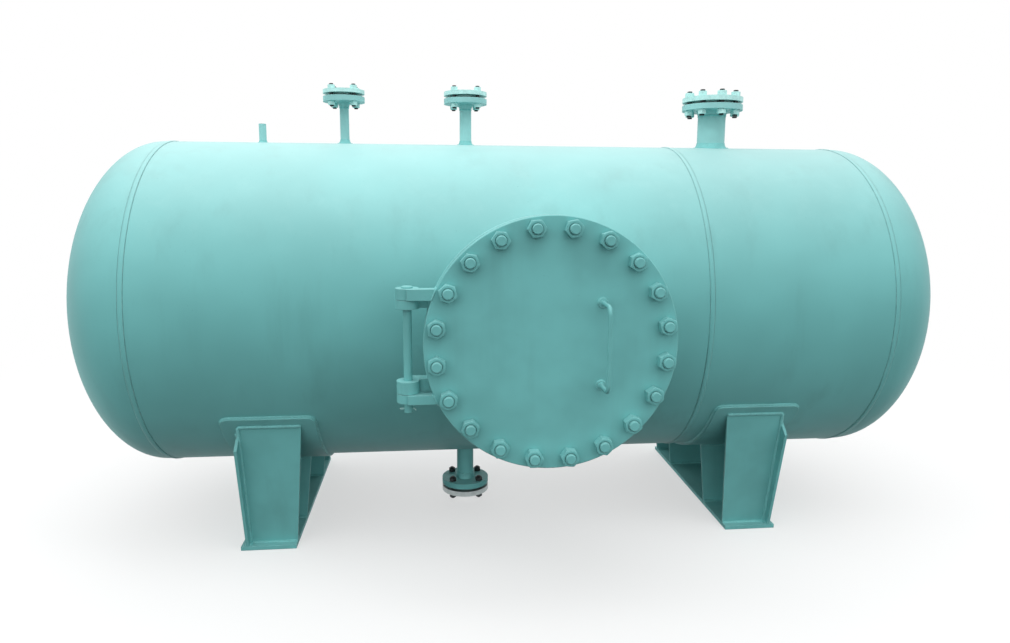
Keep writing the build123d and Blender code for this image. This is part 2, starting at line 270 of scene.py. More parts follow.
class VesselStageSettings(bpy.types.PropertyGroup):
    sky: FloatProperty(
        name="Sky light",
        description="Strength of the soft light straight from above",
        default=1.17,
    )
    horizon: FloatProperty(
        name="Horizon light",
        description="Strength of the soft light from the sides",
        default=1.38,
    )
    bounce: FloatProperty(
        name="Floor bounce",
        description="How much light the floor throws back up",
        default=0.04,
    )
    floor_glow: FloatProperty(
        name="Floor glow",
        description="How far the floor's shadow is washed out close to the vessel",
        subtype="FACTOR",
        default=0.55,
    )
    shadow_near: FloatProperty(
        name="Shadow fade start",
        description="Distance from the middle of the floor at which its shadow starts to fade out",
        unit="LENGTH",
        default=1.6,
    )
    shadow_far: FloatProperty(
        name="Shadow fade end",
        description="Distance from the middle of the floor at which its shadow has faded out",
        unit="LENGTH",
        default=4.2,
    )
    strip_power: FloatProperty(
        name="Strip light",
        description="Power of the long soft lamp over the vessel",
        unit="POWER",
        default=32.0,
    )
    lens: FloatProperty(
        name="Lens",
        description="Focal length of the camera on a 36 mm wide sensor",
        default=25.38,
    )
    floor_width: FloatProperty(
        name="Floor width",
        description="Width of the pale floor",
        unit="LENGTH",
        default=60.0,
    )


# Shader maths
class Value:
    """A number socket that adds Math nodes when it is used in an expression."""

    def __init__(self, finish, socket):
        self.finish = finish
        self.socket = socket

    def maths(self, operation, first, second):
        made = self.finish.node("ShaderNodeMath", {"operation": operation}, {0: first, 1: second})
        return Value(self.finish, made.outputs[0])

    def __add__(self, other):
        return self.maths("ADD", self, other)

    __radd__ = __add__

    def __sub__(self, other):
        return self.maths("SUBTRACT", self, other)

    def __rsub__(self, other):
        return self.maths("SUBTRACT", other, self)

    def __mul__(self, other):
        return self.maths("MULTIPLY", self, other)

    __rmul__ = __mul__

    def __gt__(self, other):
        return self.maths("GREATER_THAN", self, other)

    def between(self, low, high):
        """0 below low and 1 above high, with a soft step between them."""
        settings = {"interpolation_type": "SMOOTHSTEP"}
        sockets = {"Value": self, "From Min": low, "From Max": high}
        made = self.finish.node("ShaderNodeMapRange", settings, sockets)
        return Value(self.finish, made.outputs["Result"])


class Finish:
    """A node tree of a material or the world, with one method that adds any node."""

    def __init__(self, tree):
        self.tree = tree
        tree.nodes.clear()

    def node(self, kind, settings=None, sockets=None):
        made = self.tree.nodes.new(kind)
        for name, value in (settings or {}).items():
            setattr(made, name, value)
        for name, value in (sockets or {}).items():
            if isinstance(value, Value):
                value = value.socket
            if isinstance(value, bpy.types.NodeSocket):
                self.tree.links.new(value, made.inputs[name])
            else:
                made.inputs[name].default_value = value
        return made

    def shown(self):
        """1 on the rays that show the studio: those from the camera, mirrored ones and passed ones."""
        path = self.node("ShaderNodeLightPath")
        direct = Value(self, path.outputs["Is Camera Ray"]) + Value(self, path.outputs["Is Glossy Ray"])
        return (direct + Value(self, path.outputs["Is Transmission Ray"])) > 0.5

    def coordinates(self, scale):
        place = self.node("ShaderNodeTexCoord").outputs["Object"]
        made = self.node("ShaderNodeMapping", None, {"Vector": place, "Scale": scale})
        return made.outputs["Vector"]

    def noise(self, scale, detail, roughness, stretch=(1.0, 1.0, 1.0)):
        sockets = {
            "Vector": self.coordinates(stretch),
            "Scale": scale,
            "Detail": detail,
            "Roughness": roughness,
        }
        made = self.node("ShaderNodeTexNoise", None, sockets)
        return Value(self, made.outputs["Fac"])

    def blend(self, factor, first, second):
        """Colour that goes from first to second as the factor goes from 0 to 1."""
        settings = {"data_type": "RGBA", "clamp_factor": True}
        made = self.node("ShaderNodeMix", settings, {0: factor, 6: first, 7: second})
        return made.outputs[2]

    def dot(self, first, second):
        made = self.node("ShaderNodeVectorMath", {"operation": "DOT_PRODUCT"}, {0: first, 1: second})
        return Value(self, made.outputs["Value"])

    def bump(self, height, distance, strength, normal=None):
        sockets = {"Height": height, "Distance": distance, "Strength": strength}
        if normal is not None:
            sockets["Normal"] = normal
        return self.node("ShaderNodeBump", None, sockets).outputs["Normal"]

    def surface(self, sockets):
        shader = self.node("ShaderNodeBsdfPrincipled", None, sockets)
        self.node("ShaderNodeOutputMaterial", None, {"Surface": shader.outputs["BSDF"]})


def shade_of(colour, times):
    """Lighter or darker shade of a colour, with its alpha at 1."""
    return tuple(min(1.0, times * part) for part in colour[:3]) + (1.0,)


def new_material(name):
    material = bpy.data.materials.new(name)
    material.use_nodes = True
    return material, Finish(material.node_tree)


# Materials
def painted_steel(name, settings, mottle, grain, top_sheen_amount, glare_lift=0.0):
    """Sprayed enamel on rolled plate: slight mottling, orange peel, dusty patches, rubbed edges with a
    painted edge highlight, a painted sheen of light on the upper sides and a painted glare that can lighten
    it all round.
    """
    streak_share, dust_share, speck_share, wear_and_highlight_share = 0.18, 0.14, 0.25, 0.75
    sheen = 0.20
    material, paint = new_material(name)
    true_normal = paint.node("ShaderNodeNewGeometry").outputs["Normal"]
    rounded = paint.node("ShaderNodeBevel", {"samples": 4}, {"Radius": settings.edge_radius})
    # Edge mask: real wear along rubbed edges, and a painted highlight where edges catch the light
    corner = 1.0 - paint.dot(rounded.outputs["Normal"], true_normal)
    rub = paint.noise(38.0, detail=5.0, roughness=0.62).between(0.42, 0.66)
    wear_and_edge_highlight = corner.between(0.03, 0.22) * (0.35 + 0.65 * rub)
    cloud = paint.noise(mottle, detail=3.0, roughness=0.55)
    streak = paint.noise(9.0, detail=4.0, roughness=0.6, stretch=(1.0, 1.0, 0.12))
    upward = Value(paint, paint.node("ShaderNodeSeparateXYZ", None, {0: true_normal}).outputs["Z"])
    drift = paint.noise(14.0, detail=6.0, roughness=0.7).between(0.45, 0.8)
    dust = upward.between(0.1, 1.0) * drift
    speck = paint.noise(160.0, detail=2.0, roughness=0.5).between(0.70, 0.78)
    # Painted glare: the paint lifted towards the sheen colour by the glare lift
    paint_with_glare = Vector(settings.paint[:3]).lerp(Vector(settings.top_sheen_colour[:3]), glare_lift)
    colour = paint.blend(cloud.between(0.3, 0.7), shade_of(paint_with_glare, 0.90), shade_of(paint_with_glare, 1.08))
    colour = paint.blend(streak_share * streak.between(0.5, 0.75), colour, tuple(settings.grime))
    colour = paint.blend(dust_share * dust, colour, tuple(settings.worn_and_highlit_paint))
    # Painted sheen: upward faces lightened towards the sheen colour, standing for the light from above
    sheen_side = upward.maths("MAXIMUM", upward, 0.0)
    colour = paint.blend(top_sheen_amount * sheen_side * sheen_side, colour, tuple(settings.top_sheen_colour))
    colour = paint.blend(speck_share * speck, colour, tuple(settings.grime))
    # Edges lightened: worn paint and a painted edge highlight
    colour = paint.blend(wear_and_highlight_share * wear_and_edge_highlight, colour, tuple(settings.worn_and_highlit_paint))
    orange_peel = paint.noise(grain, detail=2.0, roughness=0.5)
    peel = paint.bump(orange_peel, distance=0.0003, strength=0.35, normal=rounded.outputs["Normal"])
    dull = settings.paint_roughness + 0.10 * cloud + 0.12 * dust - 0.04
    paint.surface({"Base Color": colour, "Roughness": dull, "Normal": peel, "Specular IOR Level": sheen})
    return material


def weld_metal(name, settings):
    """Painted weld metal: the same paint over fine ripples, darker in the ripples' low parts."""
    material, paint = new_material(name)
    ripple = paint.noise(420.0, detail=3.0, roughness=0.6)
    patch = paint.noise(30.0, detail=4.0, roughness=0.6)
    base = tuple(settings.paint)
    colour = paint.blend(patch.between(0.35, 0.65), base, shade_of(base, 1.15))
    colour = paint.blend(0.45 * (1.0 - ripple.between(0.30, 0.55)), colour, tuple(settings.grime))
    relief = paint.bump(ripple, distance=0.0009, strength=0.6)
    dull = settings.paint_roughness + 0.12 * patch
    paint.surface({"Base Color": colour, "Roughness": dull, "Normal": relief})
    return material


def plated_steel(name, shade, metallic, roughness, spangle):
    """Bare or plated steel: turned marks, cloudy plating and darker stains."""
    material, metal = new_material(name)
    cloud = metal.noise(spangle, detail=4.0, roughness=0.6)
    stain = metal.noise(26.0, detail=5.0, roughness=0.65).between(0.5, 0.75)
    scratch = metal.noise(240.0, detail=3.0, roughness=0.6, stretch=(1.0, 1.0, 0.25))
    base = tuple(shade)
    colour = metal.blend(cloud.between(0.35, 0.65), base, shade_of(base, 1.14))
    colour = metal.blend(0.55 * stain, colour, shade_of(base, 0.62))
    relief = metal.bump(scratch, distance=0.0002, strength=0.5)
    dull = roughness + 0.18 * stain + 0.08 * cloud
    metal.surface({"Base Color": colour, "Roughness": dull, "Metallic": metallic, "Normal": relief})
    return material


def fibre_gasket(name, settings):
    material, fibre = new_material(name)
    speckle = fibre.noise(900.0, detail=3.0, roughness=0.7)
    base = tuple(settings.gasket)
    colour = fibre.blend(speckle.between(0.45, 0.7), base, shade_of(base, 2.2))
    relief = fibre.bump(speckle, distance=0.0003, strength=0.6)
    fibre.surface({"Base Color": colour, "Roughness": 0.78 + 0.1 * speckle, "Normal": relief})
    return material


# Selecting and joining
def deselect_all():
    if bpy.context.object is not None and bpy.context.object.mode != "OBJECT":
        bpy.ops.object.mode_set(mode="OBJECT")
    bpy.ops.object.select_all(action="DESELECT")


def pick(piece):
    deselect_all()
    piece.select_set(True)
    bpy.context.view_layer.objects.active = piece


def edit_all():
    """Goes into edit mode with everything selected."""
    bpy.ops.object.mode_set(mode="EDIT")
    bpy.ops.mesh.select_all(action="SELECT")


def join(name, pieces):
    """Joins loose pieces of one kind into one named object."""
    deselect_all()
    for piece in pieces:
        piece.select_set(True)
    bpy.context.view_layer.objects.active = pieces[0]
    if len(pieces) > 1:
        bpy.ops.object.join()
    joined = bpy.context.object
    joined.name = name
    joined.data.name = name
    return joined


def finish_piece(piece, body, material):
    """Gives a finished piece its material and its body."""
    piece.data.materials.clear()
    piece.data.materials.append(material)
    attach(piece, body)


def copy_placed(piece, place):
    """Copy with its own mesh, put in its place."""
    twin = piece.copy()
    twin.data = piece.data.copy()
    bpy.context.collection.objects.link(twin)
    twin.data.transform(place)
    return twin


# Drawing lines
def draw_line(name, points):
    """Line of edges, drawn by extruding one vertex from point to point."""
    deselect_all()
    bpy.ops.mesh.primitive_plane_add(size=0.001)
    line = bpy.context.object
    line.name = name
    edit_all()
    bpy.ops.mesh.merge(type="CENTER")
    bpy.ops.transform.translate(value=points[0])
    for here, there in zip(points, points[1:]):
        step = Vector(there) - Vector(here)
        bpy.ops.mesh.extrude_vertices_move(TRANSFORM_OT_translate={"value": step})
    bpy.ops.object.mode_set(mode="OBJECT")
    return line


def straight_seam(start, end, spacing):
    """Straight line with a vertex at each weld ripple."""
    line = draw_line("seam", [start, end])
    length = (Vector(end) - Vector(start)).length
    edit_all()
    for _ in range(max(1, round(log2(length / spacing)))):
        bpy.ops.mesh.subdivide(number_cuts=1)
    bpy.ops.object.mode_set(mode="OBJECT")
    return line


def arc_seam(start, centre, axis, angle, spacing):
    """Arc swept from a start point round an axis, by the right hand rule."""
    line = draw_line("seam", [start])
    radius = (Vector(start) - Vector(centre)).length
    steps = max(3, round(abs(angle) * radius / spacing))
    edit_all()
    bpy.ops.mesh.spin(steps=steps, angle=-angle, center=centre, axis=axis)
    bpy.ops.object.mode_set(mode="OBJECT")
    return line


def ring_seam(centre, radius, turn, spacing):
    """Closed ring whose plane is turned about X."""
    deselect_all()
    steps = max(16, round(2 * pi * radius / spacing))
    bpy.ops.mesh.primitive_circle_add(vertices=steps, radius=radius, location=centre, rotation=(turn, 0, 0))
    bpy.ops.object.transform_apply()
    return bpy.context.object


def settle_across(line, side):
    """Drops a line straight up or down onto the shell's outside."""
    for vertex in line.data.vertices:
        vertex.co.z = axis_z + side * sqrt(shell_r**2 - vertex.co.y**2)
    return line


def wrap_under(line):
    """Rolls a flat line round the shell's underside, so that its Y becomes length round the shell."""
    for vertex in line.data.vertices:
        angle = vertex.co.y / shell_r
        vertex.co.y = shell_r * sin(angle)
        vertex.co.z = axis_z - shell_r * cos(angle)
    return line


def settle_forward(line):
    """Pushes a line straight back onto the shell's front."""
    for vertex in line.data.vertices:
        vertex.co.y = -sqrt(shell_r**2 - (vertex.co.z - axis_z) ** 2)
    return line


def rise_to_rest(foot_y, lean, height, rest_r):
    """Rise at which a line that leaves a foot and leans outwards meets the wear plate's underside."""
    square = 1 + lean**2
    half = lean * foot_y - height
    rest = foot_y**2 + height**2 - rest_r**2
    return (-half - sqrt(half**2 - square * rest)) / square


# Round bars and weld beads along a line
weld_ripple = (1.05, 1.0, 0.93)


def tube_along(line, radius, rippled, resolution=2):
    """Turns a drawn line into a capped round bar, or into a rippled bead that runs out at its ends."""
    pick(line)
    bpy.ops.object.convert(target="CURVE")
    bar = bpy.context.object
    bar.data.bevel_depth = radius
    bar.data.bevel_resolution = resolution
    bar.data.use_fill_caps = True
    for spline in bar.data.splines:
        for place, point in enumerate(spline.points):
            point.radius = weld_ripple[place % len(weld_ripple)] if rippled else 1.0
        if rippled and not spline.use_cyclic_u:
            spline.points[0].radius = 0.5
            spline.points[-1].radius = 0.5
    bpy.ops.object.convert(target="MESH")
    bpy.ops.object.shade_smooth()
    return bpy.context.object


def lathe(name, profile, steps):
    """Turns a profile of radius and height points round the Z axis."""
    piece = draw_line(name, [(radius, 0.0, height) for radius, height in profile])
    edit_all()
    bpy.ops.mesh.spin(steps=steps, angle=2 * pi, center=(0, 0, 0), axis=(0, 0, 1))
    bpy.ops.mesh.select_all(action="SELECT")
    bpy.ops.mesh.remove_doubles(threshold=0.00001)
    bpy.ops.mesh.normals_make_consistent(inside=False)
    bpy.ops.object.mode_set(mode="OBJECT")
    bpy.ops.object.shade_smooth_by_angle(angle=radians(35))
    return piece


def weld_collar(x, pipe_r, side, out, rise):
    """Weld that flares from a neck down onto the shell, with its foot shaped to the shell."""
    buried = 0.004
    inside = pipe_r - 0.0015
    profile = [
        (inside, rise),
        (pipe_r + 0.08 * out, rise),
        (pipe_r + 0.24 * out, 0.55 * rise),
        (pipe_r + 0.52 * out, 0.22 * rise),
        (pipe_r + out, 0.02 * rise),
        (pipe_r + out, -buried),
        (inside, -buried),
        (inside, rise),
    ]
    collar = lathe("collar", profile, steps=64)
    for vertex in collar.data.vertices:
        lift = vertex.co.z + sqrt(shell_r**2 - vertex.co.y**2)
        vertex.co.x += x
        vertex.co.z = axis_z + side * lift
    edit_all()
    bpy.ops.mesh.normals_make_consistent(inside=False)
    bpy.ops.object.mode_set(mode="OBJECT")
    return collar


# Studs and nuts, with the share of a nut's height that the cut thread reaches into
thread_in_nut = 0.2


def hex_nut(stud_d, width, height):
    """Nut that stands on the origin: a hexagon trimmed by a chamfered barrel with a countersunk bore."""
    corner_r = width / 2 / cos(pi / 6)
    face_r = 0.48 * width
    barrel_r = 1.02 * corner_r
    slope = 0.55 * (corner_r - face_r)
    play = 0.0003
    bore_r = stud_d / 2 + play
    sink = 0.06 * stud_d
    ring = [
        (bore_r + sink, 0.0),
        (face_r, 0.0),
        (barrel_r, slope),
        (barrel_r, height - slope),
        (face_r, height),
        (bore_r + sink, height),
        (bore_r, height - sink),
        (bore_r, sink),
        (bore_r + sink, 0.0),
    ]
    barrel = lathe("barrel", ring, steps=36)
    deselect_all()
    bpy.ops.mesh.primitive_cylinder_add(
        vertices=6, radius=corner_r, depth=1.2 * height, location=(0, 0, height / 2)
    )
    nut = bpy.context.object
    bpy.ops.object.transform_apply()
    bpy.ops.object.modifier_add(type="BOOLEAN")
    trim = nut.modifiers[-1]
    trim.operation = "INTERSECT"
    trim.object = barrel
    trim.solver = "EXACT"
    bpy.ops.object.modifier_apply(modifier=trim.name)
    bpy.data.objects.remove(barrel)
    pick(nut)
    bpy.ops.object.shade_smooth_by_angle(angle=radians(25))
    return nut


def threaded_stud(stud_d, low, high, low_thread, high_thread):
    """Stud along Z from low to high, with cut thread over the stated length of each end."""
    radius = stud_d / 2
    pitch = 0.117 * stud_d
    depth = 0.55 * pitch
    chamfer = 0.09 * stud_d
    profile = [(0.0, low), (radius - chamfer if low_thread else radius, low)]
    if low_thread:
        profile.append((radius, low + chamfer))
        for turn in range(round(low_thread / pitch)):
            start = low + chamfer + turn * pitch
            profile.append((radius - depth, start + pitch / 2))
            profile.append((radius, start + pitch))
    top = []
    if high_thread:
        for turn in range(round(high_thread / pitch)):
            start = high - chamfer - turn * pitch
            top.append((radius, start))
            top.append((radius - depth, start - pitch / 2))
    profile.extend(reversed(top))
    profile.extend([(radius - chamfer if high_thread else radius, high), (0.0, high)])
    return lathe("stud", profile, steps=20)


class BoltCircle:
    """Ring of studs: its centre line and the two faces that the nuts clamp, measured outwards."""

    def __init__(self, cover, flange, hub, outward, turn, pitch_d, count, first):
        cover_reach = [corner.dot(outward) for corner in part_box(cover)]
        flange_reach = [corner.dot(outward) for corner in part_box(flange)]
        middle = box_middle(cover)
        centre = middle - outward * middle.dot(outward)
        self.high = max(cover_reach)
        self.low = min(flange_reach) + hub
        self.joint = min(cover_reach)
        self.frame = Matrix.Translation(centre) @ Matrix.Rotation(turn, 4, "X")
        self.pitch_r = pitch_d / 2
        self.count = count
        self.first = first

    def places(self, height, twist):
        """Place of each fastener at a height, with each nut turned by its own amount."""
        found = []
        for index in range(self.count):
            angle = self.first + index * 2 * pi / self.count
            own_turn = twist * ((index * 7) % 12) * radians(5)
            spot = Matrix.Rotation(angle, 4, "Z") @ Matrix.Translation((self.pitch_r, 0, height))
            found.append(self.frame @ spot @ Matrix.Rotation(own_turn, 4, "Z"))
        return found


def set_round(name, master, places):
    """Copies a fastener to every place of a bolt circle and removes the master."""
    ring = join(name, [copy_placed(master, place) for place in places])
    bpy.data.objects.remove(master)
    return ring


# One operator for each group of pieces
class VESSEL_OT_paint_nodes(bpy.types.Operator):
    """Give every solid of the frame its paint, plating or gasket material."""

    bl_idname = "vessel.paint_nodes"
    bl_label = "Paint the vessel"

    def execute(self, context):
        settings = context.scene.vessel_paint
        # Painted sheen strength for the plate parts, and painted glare for the top nozzles
        plate_top_sheen, glare_lift = settings.plate_top_sheen_amount, settings.nozzle_glare
        shell = painted_steel("Vessel paint", settings, mottle=1.6, grain=420.0, top_sheen_amount=settings.top_sheen_amount)
        plate = painted_steel("Plate paint", settings, mottle=5.0, grain=520.0, top_sheen_amount=plate_top_sheen)
        glare_lit = painted_steel(
            "Glare lit paint", settings, mottle=5.0, grain=520.0, top_sheen_amount=plate_top_sheen, glare_lift=glare_lift
        )
        coating = settings.plating
        plating = plated_steel("Plated steel", coating, metallic=0.25, roughness=0.42, spangle=60.0)
        steel = plated_steel("Bare steel", settings.steel, metallic=0.85, roughness=0.36, spangle=60.0)
        fibre = fibre_gasket("Gasket fibre", settings)
        for name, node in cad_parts.items():
            material = plate
            if name.startswith(("shell_", "head_", "girth_")) or name == "manway_neck":
                material = shell
            elif name.endswith("_gasket"):
                material = fibre
            elif name == "drain_blind":
                material = steel
            elif name.endswith("_blind"):
                material = plating
            # The top nozzles take the paint with a painted glare
            elif name.startswith(("vent_", "inlet_", "outlet_", "top_stub")):
                material = glare_lit
            node.data.materials.clear()
            node.data.materials.append(material)
        weld_metal("Weld paint", settings)
        # Dark stud steel: painted shade on the studs and painted dark reflection on the drain's nuts
        plated_steel("Stud steel", settings.dark_steel, metallic=0.7, roughness=0.42, spangle=120.0)
        return {"FINISHED"}


class VESSEL_OT_bolt_manway(bpy.types.Operator):
    """Add the manway studs and nuts, split at the joint so that the front halves swing with the cover."""

    bl_idname = "vessel.bolt_manway"
    bl_label = "Bolt the manway"

    def execute(self, context):
        settings = context.scene.vessel_bolting
        paint = bpy.data.materials["Plate paint"]
        size = settings.manway_stud_d
        height = settings.nut_height * size
        proud = settings.stud_proud * size
        thread = proud + thread_in_nut * height
        split_gap = 0.0004
        count = settings.manway_studs
        circle = BoltCircle(
            "manway_cover",
            "manway_flange",
            hub=settings.manway_hub,
            outward=Vector((0.0, -1.0, 0.0)),
            turn=pi / 2,
            pitch_d=settings.manway_pitch_d,
            count=count,
            first=pi / count,
        )
        tip = circle.high + height + proud
        tail = circle.low - height - proud
        nut = hex_nut(size, settings.nut_width * size, height)
        spare = copy_placed(nut, Matrix.Identity(4))
        front_nuts = set_round("manway_front_nuts", nut, circle.places(circle.high, 1))
        rear_nuts = set_round("manway_rear_nuts", spare, circle.places(circle.low - height, 1))
        front = threaded_stud(size, circle.joint, tip, 0.0, thread)
        front_studs = set_round("manway_front_studs", front, circle.places(0.0, 0))
        rear = threaded_stud(size, tail, circle.joint - split_gap, thread, 0.0)
        rear_studs = set_round("manway_rear_studs", rear, circle.places(0.0, 0))
        for piece in (front_nuts, front_studs):
            finish_piece(piece, "manway_door", paint)
        for piece in (rear_nuts, rear_studs):
            finish_piece(piece, "vessel", paint)
        return {"FINISHED"}


class VESSEL_OT_bolt_nozzles(bpy.types.Operator):
    """Add the studs and nuts that hold the blind flanges of the four nozzles."""

    bl_idname = "vessel.bolt_nozzles"
    bl_label = "Bolt the nozzles"

    def execute(self, context):
        settings = context.scene.vessel_bolting
        plated = bpy.data.materials["Plated steel"]
        dark = bpy.data.materials["Stud steel"]
        hub = settings.nozzle_hub
        up = Vector((0.0, 0.0, 1.0))
        # Name, way out, turn about X, bolt circle, studs, first stud's angle and stud size
        nozzles = (
            ("vent", up, 0.0, 0.115, 4, pi / 4, 0.016),
            ("inlet", up, 0.0, 0.125, 4, pi / 4, 0.016),
            ("outlet", up, 0.0, 0.190, 8, 0.0, 0.020),
            ("drain", -up, pi, 0.150, 4, pi / 4, 0.016),
        )
        for name, outward, turn, pitch_d, count, first, size in nozzles:
            blind, flange = f"{name}_blind", f"{name}_flange"
            circle = BoltCircle(blind, flange, hub, outward, turn, pitch_d, count, first)
            height = settings.nut_height * size
            proud = settings.stud_proud * size
            nut = hex_nut(size, settings.nut_width * size, height)
            places = circle.places(circle.high, 1) + circle.places(circle.low - height, 1)
            nuts = set_round(f"{name}_nuts", nut, places)
            thread = proud + thread_in_nut * height
            tail, tip = circle.low - height - proud, circle.high + height + proud
            stud = threaded_stud(size, tail, tip, thread, thread)
            studs = set_round(f"{name}_studs", stud, circle.places(0.0, 0))
            # The dark steel here is painted shade on the studs and painted dark reflection on the drain's
            # nuts
            finish_piece(nuts, "vessel", dark if name == "drain" else plated)
            finish_piece(studs, "vessel", dark)
        return {"FINISHED"}


class VESSEL_OT_weld_branches(bpy.types.Operator):
    """Lay the weld beads round the manway neck, the nozzle necks and the stub."""

    bl_idname = "vessel.weld_branches"
    bl_label = "Weld the branches"

    def execute(self, context):
        settings = context.scene.vessel_welds
        paint = bpy.data.materials["Weld paint"]
        spacing = settings.spacing
        manway_butt_r, manway_butt_sunk = 0.007, 0.0045
        nozzle_butt_r, nozzle_butt_sunk = 0.0045, 0.0025
        neck_low, neck_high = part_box("manway_neck")
        neck_r = (neck_high.x - neck_low.x) / 2
        foot = settle_forward(ring_seam((manway_x, 0.0, axis_z), neck_r, pi / 2, spacing))
        butt_place = (manway_x, neck_low.y, axis_z)
        butt = ring_seam(butt_place, neck_r - manway_butt_sunk, pi / 2, spacing)
        beads = [
            tube_along(foot, settings.manway_leg, True, 3),
            tube_along(butt, manway_butt_r, True),
        ]
        manway_welds = join("manway_welds", beads)
        finish_piece(manway_welds, "vessel", paint)

        beads = []
        # Neck, side of the shell and size of its weld over the usual one
        for neck, side, share in (
            ("vent_neck", 1, 1.0),
            ("inlet_neck", 1, 1.0),
            ("outlet_neck", 1, 1.3),
            ("drain_neck", -1, 1.1),
            ("top_stub", 1, 0.55),
        ):
            low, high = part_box(neck)
            pipe_r = (high.x - low.x) / 2
            middle_x = (low.x + high.x) / 2
            out, rise = share * settings.branch_leg, share * settings.branch_rise
            beads.append(weld_collar(middle_x, pipe_r, side, out, rise))
            toe = ring_seam((middle_x, 0.0, axis_z), pipe_r + out, 0.0, spacing)
            toe_r = 0.25 * out
            beads.append(tube_along(settle_across(toe, side), toe_r, True))
            if neck != "top_stub":
                end_z = high.z if side > 0 else low.z
                butt = ring_seam((middle_x, 0.0, end_z), pipe_r - nozzle_butt_sunk, 0.0, spacing)
                beads.append(tube_along(butt, nozzle_butt_r, True))
        nozzle_welds = join("nozzle_welds", beads)
        finish_piece(nozzle_welds, "vessel", paint)
        return {"FINISHED"}


class VESSEL_OT_weld_saddles(bpy.types.Operator):
    """Lay the fillet welds of both saddles: wear plates, webs, ribs and base plates."""

    bl_idname = "vessel.weld_saddles"
    bl_label = "Weld the saddles"

    def execute(self, context):
        settings = context.scene.vessel_welds
        paint = bpy.data.materials["Weld paint"]
        for saddle in ("fixed_saddle", "sliding_saddle"):
            beads = self.wear_plate_beads(saddle, settings)
            beads += self.web_beads(saddle, settings)
            beads += self.rib_beads(saddle, settings)
            welds = join(f"{saddle}_welds", beads)
            finish_piece(welds, "vessel", paint)
        return {"FINISHED"}

    def wear_plate_beads(self, saddle, settings):
        """Bead right round the wear plate, where its edge meets the shell."""
        plate_corner_r = 0.028
        low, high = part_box(f"{saddle}_wear_plate")
        wrapped = 2 * shell_r * acos((axis_z - high.z) / shell_r)
        deselect_all()
        bpy.ops.mesh.primitive_plane_add(size=1.0, location=((low.x + high.x) / 2, 0.0, 0.0))
        outline = bpy.context.object
        outline.scale = (high.x - low.x, wrapped, 1.0)
        bpy.ops.object.transform_apply()
        edit_all()
        bpy.ops.mesh.bevel(offset=plate_corner_r, offset_type="OFFSET", segments=8, affect="VERTICES")
        bpy.ops.mesh.select_all(action="SELECT")
        bpy.ops.mesh.delete(type="ONLY_FACE")
        bpy.ops.mesh.select_mode(type="EDGE")
        # Halve the edges along X six times and those round the shell eight times
        for axis, halvings in ((0, 6), (1, 8)):
            for _ in range(halvings):
                bpy.ops.mesh.select_all(action="DESELECT")
                bpy.ops.object.mode_set(mode="OBJECT")
                for edge in outline.data.edges:
                    first, second = (outline.data.vertices[end].co for end in edge.vertices)
                    edge.select = abs(first[1 - axis] - second[1 - axis]) < 0.00001
                bpy.ops.object.mode_set(mode="EDIT")
                bpy.ops.mesh.subdivide(number_cuts=1)
        bpy.ops.mesh.select_mode(type="VERT")
        bpy.ops.object.mode_set(mode="OBJECT")
        wrap_under(outline)
        return [tube_along(outline, settings.wear_leg, True, 3)]

    def web_beads(self, saddle, settings):
        """Beads along the web's foot and along its curved top, on both its faces."""
        low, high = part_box(f"{saddle}_web")
        plate_low, plate_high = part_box(f"{saddle}_base_plate")
        rest_r = axis_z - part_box(f"{saddle}_wear_plate")[0].z
        half_angle = acos((axis_z - high.z) / rest_r)
        leg = settings.saddle_leg
        end_gap = 0.004
        beads = []
        for face_x in (low.x, high.x):
            start = (face_x, plate_low.y + end_gap, plate_high.z)
            end = (face_x, plate_high.y - end_gap, plate_high.z)
            beads.append(tube_along(straight_seam(start, end, settings.spacing), leg, True))
            arc_start = (face_x, -rest_r * sin(half_angle), axis_z - rest_r * cos(half_angle))
            arc = arc_seam(arc_start, (face_x, 0.0, axis_z), (1, 0, 0), 2 * half_angle, settings.spacing)
            beads.append(tube_along(arc, leg, True))
        return beads

    def rib_beads(self, saddle, settings):
        """Beads on both sides of each rib: at its foot, up the web and under the wear plate."""
        web_low, web_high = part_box(f"{saddle}_web")
        ribs_low, ribs_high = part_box(f"{saddle}_ribs")
        floor_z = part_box(f"{saddle}_base_plate")[1].z
        rest_r = axis_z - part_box(f"{saddle}_wear_plate")[0].z
        inward = 1 if (ribs_low.x + ribs_high.x) > (web_low.x + web_high.x) else -1
        web_x = web_high.x if inward > 0 else web_low.x
        leg = 0.85 * settings.saddle_leg
        # A rib's thickness, its reach from the web at its foot and at its top, and its places
        thick, foot, top = 0.008, 0.162, 0.206
        top_angle = radians(54.0)
        end_y, inner_y = 0.400, 0.205
        climb = axis_z - rest_r * cos(top_angle) - floor_z
        lean = (rest_r * sin(top_angle) - end_y) / climb
        stretch = sqrt(1 + lean**2)
        faces = (
            (end_y, lean),
            (end_y - thick * stretch, lean),
            (inner_y - thick / 2, 0.0),
            (inner_y + thick / 2, 0.0),
        )
        beads = []
        for foot_y, slope in faces:
            head = rise_to_rest(foot_y, slope, axis_z - floor_z, rest_r)
            reach = foot + (top - foot) * head / climb
            for side in (-1, 1):
                head_y = side * (foot_y + slope * head)
                corner = (web_x, side * foot_y, floor_z)
                toe = (web_x + inward * foot, side * foot_y, floor_z)
                neck = (web_x, head_y, floor_z + head)
                tip = (web_x + inward * reach, head_y, floor_z + head)
                for start, end in ((corner, toe), (corner, neck), (neck, tip)):
                    beads.append(tube_along(straight_seam(start, end, settings.spacing), leg, True))
        return beads


